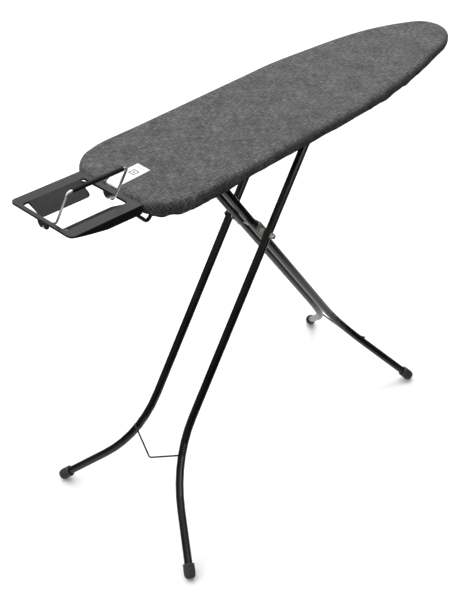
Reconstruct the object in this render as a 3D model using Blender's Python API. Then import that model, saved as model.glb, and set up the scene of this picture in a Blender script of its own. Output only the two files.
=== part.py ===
"""Home ironing board, 1.10 x 0.30 m, on a four-legged scissor frame, with a steam iron rest.

Metres, +Z up. The origin is on the floor under the middle of the whole length. +X runs along the
board towards its nose, and -X to the iron rest. "near" is -Y and "far" is +Y in every name.
"""

import math

import bmesh
import bpy
from mathutils import Matrix, Vector

# Board: outline, and heights of its layers.
NOSE_X = 0.6373
BOARD_LENGTH = 1.100
TAIL_X = NOSE_X - BOARD_LENGTH
HALF_WIDTH = 0.150
NOSE_TAPER = 0.500
TAPER_POWER = 1.4
ROUND_POWER = 2.4
CORNER_LENGTH = 0.130
CORNER_WIDTH = 0.066
TOP_Z = 0.9695
HEM_Z = 0.9460
COVER_THICK = 0.0015
PAD_Z = (0.9607, 0.9677)
DECK_Z = (0.9592, 0.9604)
RIM_Z = 0.9480
SHEET = 0.0012
LABEL_THICK = 0.0004

# Scissor legs: round steel tube.
TUBE_R = 0.0100
TUBE_BORE = 0.0085
BEND_R = 0.335
AXIS_Z = 0.932
CROSS_X = -0.0598
CROSS_Z = 0.6852
INNER_Y = (0.0252, 0.0252)
INNER_BEND = (0.2829, 0.2021)
INNER_FOOT = (0.4241, 0.1830, 0.0165)
OUTER_Y = (0.0626, 0.0600)
OUTER_BEND = (-0.3862, 0.1815)
OUTER_FOOT = (-0.5065, 0.2306, 0.0163)
OUTER_SET_Z = 0.874
TOP_SPARE = 0.012

# The inner tubes run straight from the tail hinge through the cross pivot. The outer pair's axle is
# as far from the cross pivot as the tail hinge is, so that it keeps level in its rails.
INNER_SLOPE = (CROSS_Z - INNER_BEND[1]) / (INNER_BEND[0] - CROSS_X)
TAIL_HINGE_X = CROSS_X - (AXIS_Z - CROSS_Z) / INNER_SLOPE
ARM = math.hypot(CROSS_X - TAIL_HINGE_X, AXIS_Z - CROSS_Z)
OUTER_SLOPE = (CROSS_Z - OUTER_BEND[1]) / (CROSS_X - OUTER_BEND[0])
AXLE_X = 2 * CROSS_X - TAIL_HINGE_X
FOLDED_ANGLE = math.radians(5)
AXLE_FOLDED_X = TAIL_HINGE_X + 2 * ARM * math.cos(FOLDED_ANGLE)

# Pins, axle and running gaps.
GAP = 0.0003
PIN_R = 0.0040
BOLT_R = 0.0030
ROLLER_R = 0.0060
RAIL_Y = 0.0800
RAIL_THICK = 0.0020
RAIL_DROP = 0.0120

# Foot caps.
CAP_R = 0.0142
CAP_MOUTH = 0.019
CAP_END = 0.017

# Bracing wires: each is bent to a V. Places are measured from its legs' bend, down the leg (START, then
# DEPTH more to the V's point) and outwards from the leg's middle (ARM_GAP, then POINT_GAP at the point).
BRACE_R = 0.0022
INNER_BRACE = {"start": 0.079, "depth": 0.046, "half_span": 0.083, "arm_gap": 0.0125, "point_gap": 0.0065}
OUTER_BRACE = {"start": -0.024, "depth": 0.0505, "half_span": 0.079, "arm_gap": 0.0175, "point_gap": 0.0125}

# Cross bolt and the bracket that carries it.
BOLT_HEAD = 0.0072
BRACKET_WEB = 0.0130
BRACKET_BACK = -0.0080
BRACKET_SIDE = 0.0392
BRACKET_THICK = 0.0018
BRACKET_HALF_LENGTH = 0.022

# Iron rest. Its sizes are those of the level sheet, which then turns up by REST_RISE about the board's edge.
REST_Z = 0.9651
REST_RISE = math.radians(3.0)
REST_END_X = -0.6388
REST_BOARD_X = TAIL_X - GAP
REST_Y = 0.0926
REST_CORNER = 0.011
OPEN_X = (-0.6296, -0.4768)
OPEN_Y = 0.0660
OPEN_CORNER = 0.005
WING_X = (-0.6135, -0.4885)
WING = 0.0426
WING_CORNER = 0.0080
WING_SLOPE = math.radians(30)
RELIEF = 0.0012
FLANGE = 0.0045
SKIRT_DEPTH = 0.0202
SKIRT_TURN = 0.0115
ROD_Y = 0.0850
ROD_Z = 0.9525
ROD_R = 0.0040
SKIRT_MID = (-0.5630, 0.0188)
SKIRT_END = (-0.6320, 0.0040)

# Bail over the iron rest, in the level sheet's places: each pair is (y, z).
BAIL_R = 0.0025
BAIL_X = (-0.6260, -0.4812)
BAIL_HINGE = (-0.0095, 0.9520)
BAIL_KNEE = (-0.0345, 0.9660)
BAIL_TOP = (-0.0730, 1.0467)
SLEEVE_R = 0.0046
SLEEVE_INSET = 0.012

# Height lever with its notched bar.
LEVER_PIVOT = (0.4870, 0.9435)
LEVER_Y = 0.0440
RACK_THICK = 0.0030
RACK_EDGE_Z = AXIS_Z + PIN_R + 0.0006
RACK_TALL = 0.0124
RACK_END_X = 0.0600
SEATED_TURN = math.radians(1.2)
HEIGHT_ANGLES = (math.degrees(math.atan(INNER_SLOPE)), 47.0, 40.0, 5.0)

BLACK = (0.018, 0.018, 0.020)
DARK_GREY = (0.060, 0.060, 0.065)


def clear_scene():
    for obj in list(bpy.data.objects):
        bpy.data.objects.remove(obj, do_unlink=True)


def material(name, colour, roughness, metallic=0.0):
    made = bpy.data.materials.get(name) or bpy.data.materials.new(name)
    made.use_nodes = True
    shader = made.node_tree.nodes["Principled BSDF"]
    shader.inputs["Base Color"].default_value = (*colour, 1.0)
    shader.inputs["Roughness"].default_value = roughness
    shader.inputs["Metallic"].default_value = metallic
    return made


def body(name, place, parent=None):
    """An empty on a joint's axis, which the moving body's pieces hang from."""
    empty = bpy.data.objects.new(name, None)
    bpy.context.scene.collection.objects.link(empty)
    empty.location = place
    if parent:
        empty.location = Vector(place) - parent.matrix_world.translation
        empty.parent = parent
    bpy.context.view_layer.update()
    return empty


def add(name, bm, owner, finish, smooth=True):
    """Turns a bmesh in world coordinates into one named object under its body's empty."""
    bmesh.ops.recalc_face_normals(bm, faces=bm.faces)
    mesh = bpy.data.meshes.new(name)
    bm.to_mesh(mesh)
    bm.free()
    mesh.materials.append(finish)
    if smooth:
        mesh.shade_smooth()
        mesh.set_sharp_from_angle(angle=math.radians(35))
    obj = bpy.data.objects.new(name, mesh)
    bpy.context.scene.collection.objects.link(obj)
    obj.parent = owner
    obj.matrix_parent_inverse = owner.matrix_world.inverted()
    return obj


def cut(obj, cutter_bm, label):
    """Subtracts a shape from an object. The cutter stays in the file as a wire helper."""
    bmesh.ops.recalc_face_normals(cutter_bm, faces=cutter_bm.faces)
    mesh = bpy.data.meshes.new("cutter_" + label)
    cutter_bm.to_mesh(mesh)
    cutter_bm.free()
    cutter = bpy.data.objects.new("cutter_" + label, mesh)
    bpy.context.scene.collection.objects.link(cutter)
    cutter.hide_render = True
    cutter.display_type = "WIRE"
    modifier = obj.modifiers.new("cut_" + label, "BOOLEAN")
    modifier.operation = "DIFFERENCE"
    modifier.solver = "EXACT"
    modifier.object = cutter


def drill(obj, x, z, radius, y_from, y_to, label, sides=16):
    """A round hole along Y."""
    bm = turned([(radius, 0.0), (radius, abs(y_to - y_from))], (x, y_from, z), (0, y_to - y_from, 0), sides)
    cut(obj, bm, label)


def frame_along(direction):
    """Two unit vectors across a direction."""
    across = Vector((0, 1, 0)) if abs(direction.y) < 0.9 else Vector((1, 0, 0))
    u = (across - direction * across.dot(direction)).normalized()
    return u, direction.cross(u)


def ring_at(bm, centre, u, v, radius, sides):
    ring = []
    for k in range(sides):
        turn = 2 * math.pi * k / sides
        ring.append(bm.verts.new(centre + radius * (u * math.cos(turn) + v * math.sin(turn))))
    return ring


def skin(bm, first, second):
    """Quads between two closed loops of the same count."""
    count = len(first)
    for k in range(count):
        after = (k + 1) % count
        bm.faces.new((first[k], first[after], second[after], second[k]))


def turned(profile, start, axis, sides=20):
    """A solid of revolution: (radius, distance along the axis) pairs, closed by flat ends."""
    bm = bmesh.new()
    axis = Vector(axis).normalized()
    u, v = frame_along(axis)
    rings = [ring_at(bm, Vector(start) + axis * along, u, v, radius, sides) for radius, along in profile]
    for first, second in zip(rings, rings[1:]):
        skin(bm, first, second)
    bm.faces.new(rings[0])
    bm.faces.new(rings[-1])
    return bm


def turned_ring(profile, start, axis, sides=20):
    """A solid of revolution whose profile is a closed loop, such as a bush."""
    bm = bmesh.new()
    axis = Vector(axis).normalized()
    u, v = frame_along(axis)
    rings = [ring_at(bm, Vector(start) + axis * along, u, v, radius, sides) for radius, along in profile]
    for first, second in zip(rings, rings[1:] + rings[:1]):
        skin(bm, first, second)
    return bm


def round_corners(points, radius, steps=8):
    """A path whose inner corners are arcs of the given radius."""
    points = [Vector(p) for p in points]
    path = [points[0]]
    for before, corner, after in zip(points, points[1:], points[2:]):
        into = (corner - before).normalized()
        out = (after - corner).normalized()
        turn = into.angle(out)
        if turn < 1e-4:
            path.append(corner)
            continue
        tangent = radius * math.tan(turn / 2)
        inward = (out - into).normalized()
        centre = corner + inward * radius / math.cos(turn / 2)
        start = corner - into * tangent - centre
        axis = into.cross(out).normalized()
        path += [centre + Matrix.Rotation(turn * k / steps, 3, axis) @ start for k in range(steps + 1)]
    path.append(points[-1])
    return path


def sweep(path, radius, sides=16, bore=0.0):
    """A round rod along a path, or a tube with open ends where a bore is given."""
    bm = bmesh.new()
    path = [Vector(p) for p in path]
    direction = (path[1] - path[0]).normalized()
    u, v = frame_along(direction)
    outer, inner = [], []
    for k, point in enumerate(path):
        before = (point - path[k - 1]).normalized() if k else direction
        after = (path[k + 1] - point).normalized() if k + 1 < len(path) else before
        middle = (before + after).normalized()
        turn = direction.rotation_difference(middle)
        u = turn @ u
        v = turn @ v
        direction = middle
        outer.append(ring_at(bm, point, u, v, radius, sides))
        if bore:
            inner.append(ring_at(bm, point, u, v, bore, sides))
    for rings in (outer, inner):
        for first, second in zip(rings, rings[1:]):
            skin(bm, first, second)
    if bore:
        skin(bm, outer[0], inner[0])
        skin(bm, outer[-1], inner[-1])
    else:
        bm.faces.new(outer[0])
        bm.faces.new(outer[-1])
    return bm


def extruded(loop, offset):
    """A closed loop of points pushed along a vector into a solid."""
    bm = bmesh.new()
    face = bm.faces.new([bm.verts.new(p) for p in loop])
    pushed = bmesh.ops.extrude_face_region(bm, geom=[face])["geom"]
    verts = [item for item in pushed if isinstance(item, bmesh.types.BMVert)]
    bmesh.ops.translate(bm, verts=verts, vec=offset)
    return bm


def box(low, high):
    (x0, y0, z0), (x1, y1, z1) = low, high
    return extruded([(x0, y0, z0), (x1, y0, z0), (x1, y1, z0), (x0, y1, z0)], (0, 0, z1 - z0))


def slot_loop(x0, x1, z, radius, y, steps=6):
    """A slot's outline in the XZ plane, between two arc centres."""
    turn = math.pi / steps
    right = [(x1 + radius * math.sin(k * turn), y, z + radius * math.cos(k * turn)) for k in range(steps + 1)]
    left = [(x0 - radius * math.sin(k * turn), y, z - radius * math.cos(k * turn)) for k in range(steps + 1)]
    return right + left


def tilt_of_rest():
    """Turns the level iron rest up about the edge where it meets the board."""
    edge = Vector((REST_BOARD_X, 0, REST_Z))
    return Matrix.Translation(edge) @ Matrix.Rotation(REST_RISE, 4, "Y") @ Matrix.Translation(-edge)


def half_outline():
    """The far half of the board's outline, from the tail's middle to the nose tip."""
    corner_steps, nose_steps = 8, 15
    points = [(TAIL_X, 0.0), (TAIL_X, 0.5 * (HALF_WIDTH - CORNER_WIDTH))]
    for k in range(corner_steps + 1):
        turn = 0.5 * math.pi * k / corner_steps
        across = HALF_WIDTH - CORNER_WIDTH * (1 - math.sin(turn))
        points.append((TAIL_X + CORNER_LENGTH * (1 - math.cos(turn)), across))
    straight_end = NOSE_X - NOSE_TAPER
    straight_start = TAIL_X + CORNER_LENGTH
    points += [(straight_start + (straight_end - straight_start) * k / 3, HALF_WIDTH) for k in (1, 2)]
    for k in range(nose_steps + 1):
        turn = 0.5 * math.pi * k / nose_steps
        x = straight_end + NOSE_TAPER * math.sin(turn) ** (2 / TAPER_POWER)
        points.append((x, HALF_WIDTH * max(math.cos(turn), 0.0) ** (2 / ROUND_POWER)))
    points[-1] = (NOSE_X, 0.0)
    return points


def outline(inset=0.0):
    """The whole outline, moved inwards along its own normals."""
    half = half_outline()
    loop = half + [(x, -y) for x, y in reversed(half[1:-1])]
    moved = []
    for k, (x, y) in enumerate(loop):
        x0, y0 = loop[k - 1]
        x1, y1 = loop[(k + 1) % len(loop)]
        along = Vector((x1 - x0, y1 - y0)).normalized()
        moved.append((x + along.y * inset, y - along.x * inset))
    return moved


def loft(sections, cap_first, cap_last):
    """Loops of the board's outline at (inset, z), joined in order."""
    bm = bmesh.new()
    loops = [[bm.verts.new((x, y, z)) for x, y in outline(inset)] for inset, z in sections]
    for first, second in zip(loops, loops[1:]):
        skin(bm, first, second)
    if cap_first and cap_last:
        bm.faces.new(loops[0])
        bm.faces.new(loops[-1])
    else:
        skin(bm, loops[-1], loops[0])
    return bm


def make_board(board, looks):
    cover = [
        (0.0060, TOP_Z),
        (0.0028, TOP_Z - 0.0006),
        (0.0010, TOP_Z - 0.0020),
        (0.0002, TOP_Z - 0.0042),
        (0.0000, TOP_Z - 0.0080),
        (0.0000, HEM_Z + 0.0040),
        (0.0008, HEM_Z),
        (0.0022, HEM_Z),
        (COVER_THICK, HEM_Z + 0.0040),
        (COVER_THICK, TOP_Z - 0.0080),
        (0.0017, TOP_Z - 0.0048),
        (0.0024, TOP_Z - 0.0032),
        (0.0034, TOP_Z - 0.0020),
        (0.0060, TOP_Z - COVER_THICK),
    ]
    add("fabric_cover", loft(cover, True, True), board, looks["fabric"])
    pad = [(0.0070, PAD_Z[0]), (0.0070, PAD_Z[1])]
    add("foam_pad", loft(pad, True, True), board, looks["foam"])
    rim_out, rim_lip = 0.0030, 0.0110
    rim = [
        (rim_lip, DECK_Z[1]),
        (rim_out, DECK_Z[1]),
        (rim_out, RIM_Z),
        (rim_lip + 0.002, RIM_Z),
        (rim_lip + 0.002, RIM_Z + SHEET),
        (rim_out + SHEET, RIM_Z + SHEET),
        (rim_out + SHEET, DECK_Z[0]),
        (rim_lip, DECK_Z[0]),
    ]
    add("deck_rim", loft(rim, False, False), board, looks["black_steel"])
    sheet = [(0.0115, DECK_Z[0]), (0.0115, DECK_Z[1])]
    deck = add("deck_panel", loft(sheet, True, True), board, looks["black_steel"])
    cut(deck, deck_holes(), "deck_holes")
    corners = [(-0.455, -0.0165), (-0.371, -0.0150), (-0.369, 0.0240), (-0.444, 0.0240), (-0.455, 0.0150)]
    label = [(x, y, TOP_Z + GAP) for x, y in corners]
    add("care_label", extruded(label, (0, 0, LABEL_THICK)), board, looks["white"])


def deck_holes():
    """Six-sided steam holes in staggered rows along the deck."""
    bm = bmesh.new()
    pitch, across, radius = 0.076, 0.060, 0.021
    for row in (-1.5, -0.5, 0.5, 1.5):
        for column in range(14):
            x = TAIL_X + 0.080 + pitch * (column + 0.5 * ((row + 0.5) % 2))
            y = across * row
            reach = NOSE_X - 0.045 - 0.42 * (abs(y) / HALF_WIDTH) ** 1.9
            if x > reach:
                continue
            turns = [math.radians(60 * k + 30) for k in range(6)]
            hole = [(x + radius * math.cos(turn), y + radius * math.sin(turn)) for turn in turns]
            low = [bm.verts.new((hx, hy, DECK_Z[0] - 0.002)) for hx, hy in hole]
            high = [bm.verts.new((hx, hy, DECK_Z[1] + 0.002)) for hx, hy in hole]
            skin(bm, low, high)
            bm.faces.new(low)
            bm.faces.new(high)
    return bm


def skirt_depth(x):
    """The side skirt is deepest at the board and runs out towards the free end."""
    points = [SKIRT_END, SKIRT_MID, (REST_BOARD_X, SKIRT_DEPTH)]
    for (x0, d0), (x1, d1) in zip(points, points[1:]):
        if x <= x1:
            return d0 + (d1 - d0) * max(0.0, x - x0) / (x1 - x0)
    return SKIRT_DEPTH


def rounded_rectangle(x0, x1, y, corner_low, corner_high, stops, steps=4):
    """A closed loop from the far low-x corner to the near one and round, with points at the stops on the
    long sides."""
    loop = []
    sides = [
        ((x0, y), (0, -1), (1, 0), corner_low, [(x0, y - SKIRT_TURN), (x0, SKIRT_TURN - y)]),
        ((x0, -y), (1, 0), (0, 1), corner_low, [(x, -y) for x in stops]),
        ((x1, -y), (0, 1), (-1, 0), corner_high, [(x1, SKIRT_TURN - y), (x1, y - SKIRT_TURN)]),
        ((x1, y), (-1, 0), (0, -1), corner_high, [(x, y) for x in stops[::-1]]),
    ]
    for (cx, cy), out, into, radius, places in sides:
        # The corner's arc starts on the side that comes in, and leaves along "out".
        centre = (cx + radius * (out[0] + into[0]), cy + radius * (out[1] + into[1]))
        for step in range(steps + 1):
            turn = 0.5 * math.pi * step / steps
            px = centre[0] - radius * (out[0] * math.cos(turn) + into[0] * math.sin(turn))
            py = centre[1] - radius * (out[1] * math.cos(turn) + into[1] * math.sin(turn))
            loop.append((px, py))
        loop += places
    return loop


def wing_reach(x):
    """How far the sloping wing reaches at x. Its free corners are round, and past its ends there is none."""
    from_end = min(x - WING_X[0], WING_X[1] - x)
    if from_end < -1e-6:
        return None
    short = max(0.0, WING_CORNER - from_end)
    return WING - WING_CORNER + math.sqrt(WING_CORNER**2 - short**2)


def make_iron_rest(board, looks):
    """One pressed sheet: a frame round an opening, skirts outside it and a sloping wing each side inside."""
    bm = bmesh.new()
    z = REST_Z
    stops = [0.5 * (WING_X[0] + WING_X[1])]
    for along in (-RELIEF, 0.0, 0.3 * WING_CORNER, WING_CORNER):
        stops += [WING_X[0] + along, WING_X[1] - along]
    stops.sort()
    outer = rounded_rectangle(REST_END_X, REST_BOARD_X, REST_Y, REST_CORNER, 0.002, stops)
    inner = rounded_rectangle(OPEN_X[0], OPEN_X[1], OPEN_Y, OPEN_CORNER, OPEN_CORNER, stops)
    rim = [bm.verts.new((x, y, z)) for x, y in outer]
    hem = []
    for x, y in outer:
        on_skirt = abs(y) > REST_Y - SKIRT_TURN + 1e-6
        hem.append(bm.verts.new((x, y, z - (skirt_depth(x) if on_skirt else FLANGE))))
    edge = [bm.verts.new((x, y, z)) for x, y in inner]
    skin(bm, rim, hem)
    skin(bm, rim, edge)
    lip = []
    for x, y in inner:
        reach = wing_reach(x) if abs(y) > OPEN_Y - 1e-6 else None
        if reach is None:
            lip.append(bm.verts.new((x, y, z - FLANGE)))
            continue
        inwards = -math.copysign(reach * math.cos(WING_SLOPE), y)
        lip.append(bm.verts.new((x, y + inwards, z - reach * math.sin(WING_SLOPE))))
    skin(bm, edge, lip)
    bmesh.ops.recalc_face_normals(bm, faces=bm.faces)
    if sum(face.normal.z * face.calc_area() for face in bm.faces) < 0:
        bmesh.ops.reverse_faces(bm, faces=bm.faces)
    bm.transform(tilt_of_rest())
    sheet = add("rest_frame", bm, board, looks["satin_steel"])
    solid = sheet.modifiers.new("sheet", "SOLIDIFY")
    solid.thickness = SHEET
    solid.offset = -1.0
    solid.use_even_offset = False


def make_rest_fittings(board, looks):
    """The two rods that carry the iron rest, their clamps under the deck, and the bail's two clips."""
    tilt = tilt_of_rest()
    under = REST_Z - SHEET - GAP
    for side, sign, knee, dip in (("near", -1, 0.9400, 0.9150), ("far", 1, 0.9430, 0.9300)):
        y = sign * ROD_Y
        route = [tilt @ Vector((x, y, under - 0.0050)) for x in (-0.6050, -0.4800)]
        turns = [(-0.4700, knee), (-0.4470, dip), (-0.4140, ROD_Z), (-0.3600, ROD_Z)]
        route += [Vector((x, y, z)) for x, z in turns]
        rod = sweep(round_corners(route, 0.008, 4), ROD_R, 10)
        add(f"rest_rod_{side}", rod, board, looks["black_steel"])
        block = box((-0.395, y - 0.009, 0.9455), (-0.375, y + 0.009, 0.9589))
        clamp = add(f"rod_clamp_{side}", block, board, looks["plastic"])
        cut(clamp, sweep([(-0.405, y, ROD_Z), (-0.365, y, ROD_Z)], ROD_R + GAP, 10), f"clamp_{side}")
    hinge_y, hinge_z = BAIL_HINGE
    for name, x0, x1 in (("bail_clip_end", -0.6373, -0.6312), ("bail_clip_board", -0.4753, -0.4683)):
        profile = [
            (hinge_y - 0.0110, under),
            (hinge_y + 0.0190, under),
            (hinge_y + 0.0185, hinge_z + 0.0010),
            (hinge_y + 0.0125, hinge_z - 0.0060),
            (hinge_y + 0.0050, hinge_z - 0.0045),
            (hinge_y - 0.0080, hinge_z - 0.0040),
        ]
        bm = extruded([(x0, y, z) for y, z in profile], (x1 - x0, 0, 0))
        bm.transform(tilt)
        clip = add(name, bm, board, looks["plastic"])
        hole = sweep([(x0 - 0.002, hinge_y, hinge_z), (x1 + 0.002, hinge_y, hinge_z)], BAIL_R + GAP, 12)
        hole.transform(tilt)
        cut(clip, hole, name)


def make_bail(bail, looks):
    """The wire bow over the rest: hooked feet, two slanting legs with a knee low down, and a sleeved top."""
    (hy, hz), (ky, kz), (ty, tz) = BAIL_HINGE, BAIL_KNEE, BAIL_TOP
    x0, x1 = BAIL_X
    feet = [(REST_END_X, hy, hz), (x0, hy, hz), (x0, ky, kz)]
    arch = [(x0, ty, tz), (x1, ty, tz)]
    back = [(x1, ky, kz), (x1, hy, hz), (-0.4665, hy, hz)]
    path = round_corners(feet, 0.003, 3)[:-1]
    path += round_corners([path[-1], feet[2], arch[0]], 0.006, 4)[1:-1]
    path += round_corners([path[-1], arch[0], arch[1]], 0.010, 5)[1:-1]
    path += round_corners([path[-1], arch[1], back[0]], 0.010, 5)[1:-1]
    path += round_corners([path[-1], back[0], back[1]], 0.006, 4)[1:-1]
    path += round_corners([path[-1], back[1], back[2]], 0.003, 3)[1:]
    tilt = tilt_of_rest()
    wire = sweep(path, BAIL_R, 10)
    wire.transform(tilt)
    add("bail_wire", wire, bail, looks["chrome"])
    length = x1 - x0 - 2 * SLEEVE_INSET
    bush = [(SLEEVE_R, 0), (SLEEVE_R, length), (BAIL_R + GAP, length), (BAIL_R + GAP, 0)]
    sleeve = turned_ring(bush, (x0 + SLEEVE_INSET, ty, tz), (1, 0, 0), 14)
    sleeve.transform(tilt)
    add("bail_sleeve", sleeve, bail, looks["rubber"])


def leg_y(ys, bend, z):
    """A tube's distance from the middle plane at height z. The pair closes slightly from its bends up."""
    return ys[0] + (ys[1] - ys[0]) * (z - bend[1]) / (AXIS_Z - bend[1])


def make_leg(name, owner, sign, ys, top, bend, foot, looks, holes, setting=None):
    """One bent tube from its top end to its foot, with its foot cap and top plug."""
    corners = [top] + ([setting] if setting else []) + [(bend[0], bend[1])]
    points = [(x, sign * leg_y(ys, bend, z), z) for x, z in corners] + [(foot[0], sign * foot[1], foot[2])]
    path = round_corners(points[-3:], BEND_R, 7)
    if setting:
        path = round_corners(points[:2] + [path[1]], 0.060, 2)[:-1] + path[1:]
    along = (path[-1] - path[-2]).normalized()
    pair, side = name.split("_")
    tube = add(f"{pair}_tube_{side}", sweep(path, TUBE_R, 14, TUBE_BORE), owner, looks["gloss_steel"])
    for label, x, z, radius in holes:
        y = leg_y(ys, bend, z)
        low, high = sorted((sign * (y - 0.015), sign * (y + 0.015)))
        drill(tube, x, z, radius, low, high, f"{name}_{label}", 12)
    foot_cap(f"{pair}_foot_{side}", owner, path[-1], along, looks)
    up = (path[0] - path[1]).normalized()
    fit = TUBE_BORE - GAP
    profile = [(0.0070, -0.0070), (fit, -0.0060), (fit, GAP), (TUBE_R, GAP), (0.0085, 0.0022)]
    add(f"{pair}_plug_{side}", turned(profile, path[0], up, 16), owner, looks["plastic"])


def foot_cap(name, owner, end, along, looks):
    """A cup pushed over the tube's end, domed at the bottom and worn flat where it stands."""
    wall = [
        (TUBE_R + GAP, -CAP_MOUTH),
        (CAP_R - 0.0016, -CAP_MOUTH),
        (CAP_R, -CAP_MOUTH + 0.0015),
        (CAP_R, -CAP_MOUTH + 0.0060),
        (CAP_R - 0.0008, -CAP_MOUTH + 0.0070),
        (CAP_R, 0.0040),
        (CAP_R * 0.96, 0.0090),
        (CAP_R * 0.80, 0.0135),
        (CAP_R * 0.50, 0.0162),
        (0.0015, CAP_END),
    ]
    bm = bmesh.new()
    axis = along.normalized()
    u, v = frame_along(axis)
    rings = [ring_at(bm, end + axis * a, u, v, r, 16) for r, a in wall]
    floor = [ring_at(bm, end + axis * a, u, v, r, 16) for r, a in ((TUBE_R + GAP, GAP), (0.0015, GAP))]
    for first, second in zip(rings, rings[1:]):
        skin(bm, first, second)
    bm.faces.new(rings[-1])
    skin(bm, rings[0], floor[0])
    skin(bm, floor[0], floor[1])
    bm.faces.new(floor[1])
    geometry = bm.verts[:] + bm.edges[:] + bm.faces[:]
    sliced = bmesh.ops.bisect_plane(
        bm, geom=geometry, plane_co=(0, 0, 0), plane_no=(0, 0, -1), clear_outer=True
    )
    rim_edges = [item for item in sliced["geom_cut"] if isinstance(item, bmesh.types.BMEdge)]
    bmesh.ops.edgeloop_fill(bm, edges=rim_edges)
    add(name, bm, owner, looks["plastic"])


def brace(name, owner, bend, foot, sizes, looks):
    """A wire bent to a V, laid across both tubes of a pair near their bends."""
    down = Vector((foot[0] - bend[0], 0, foot[2] - bend[1])).normalized()
    out = down.cross(Vector((0, 1, 0))).normalized()
    if out.x * down.x < 0:
        out.negate()
    corner = Vector((bend[0], 0, bend[1]))
    arm = corner + out * sizes["arm_gap"] + down * sizes["start"]
    side = Vector((0, sizes["half_span"], 0))
    point = corner + out * sizes["point_gap"] + down * (sizes["start"] + sizes["depth"])
    wire = sweep(round_corners([arm - side, point, arm + side], 0.008, 4), BRACE_R, 8)
    add(name, wire, owner, looks["black_steel"])


def make_cross_pivot(inner, outer, looks):
    """The bolt on which the two pairs of legs cross, and the bracket that carries it on the inner pair."""
    up = Vector((TAIL_HINGE_X - CROSS_X, 0, AXIS_Z - CROSS_Z)).normalized()
    out = Vector((up.z, 0, -up.x))
    centre = Vector((CROSS_X, 0, CROSS_Z))
    web, back, side = BRACKET_WEB, BRACKET_BACK, BRACKET_SIDE
    web_inside, side_inside = web - BRACKET_THICK, side - BRACKET_THICK
    profile = [(side, back), (side, web), (-side, web), (-side, back)]
    profile += [(-side_inside, back), (-side_inside, web_inside)]
    profile += [(side_inside, web_inside), (side_inside, back)]
    low_end = centre - up * BRACKET_HALF_LENGTH
    loop = [low_end + out * n + Vector((0, y, 0)) for y, n in profile]
    bracket = add("pivot_bracket", extruded(loop, up * 2 * BRACKET_HALF_LENGTH), inner, looks["zinc"])
    drill(bracket, CROSS_X, CROSS_Z, BOLT_R + GAP, -0.045, 0.045, "bracket_bolt")
    outer_y = leg_y(OUTER_Y, OUTER_BEND, CROSS_Z)
    face = outer_y + TUBE_R
    head = face + 0.0022
    bolt = [(0.0050, 0), (0.0062, 0.0012), (0.0062, BOLT_HEAD), (BOLT_R, BOLT_HEAD)]
    bolt += [(BOLT_R, BOLT_HEAD + 2 * head + 0.0033)]
    start = (CROSS_X, -head - BOLT_HEAD, CROSS_Z)
    add("cross_bolt", turned(bolt, start, (0, 1, 0), 16), inner, looks["chrome"])
    nut = [(BOLT_R + GAP, 0), (0.0052, 0), (0.0052, 0.0025), (0.0045, 0.0033), (BOLT_R + GAP, 0.0033)]
    add("cross_nut", turned_ring(nut, (CROSS_X, head + GAP, CROSS_Z), (0, 1, 0), 12), inner, looks["chrome"])
    for name, sign in (("near", -1), ("far", 1)):
        washer = [(BOLT_R + GAP, 0), (0.0078, 0), (0.0078, 0.0014), (BOLT_R + GAP, 0.0014)]
        start = (CROSS_X, sign * (face + 0.0004), CROSS_Z)
        add(f"pivot_washer_{name}", turned_ring(washer, start, (0, sign, 0), 16), outer, looks["nylon"])
        length = outer_y - TUBE_R - side - 2 * GAP
        spacer = [(BOLT_R + GAP, 0), (0.0075, 0), (0.0075, length), (BOLT_R + GAP, length)]
        start = (CROSS_X, sign * (side + GAP), CROSS_Z)
        add(f"pivot_spacer_{name}", turned_ring(spacer, start, (0, sign, 0), 16), inner, looks["nylon"])


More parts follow.
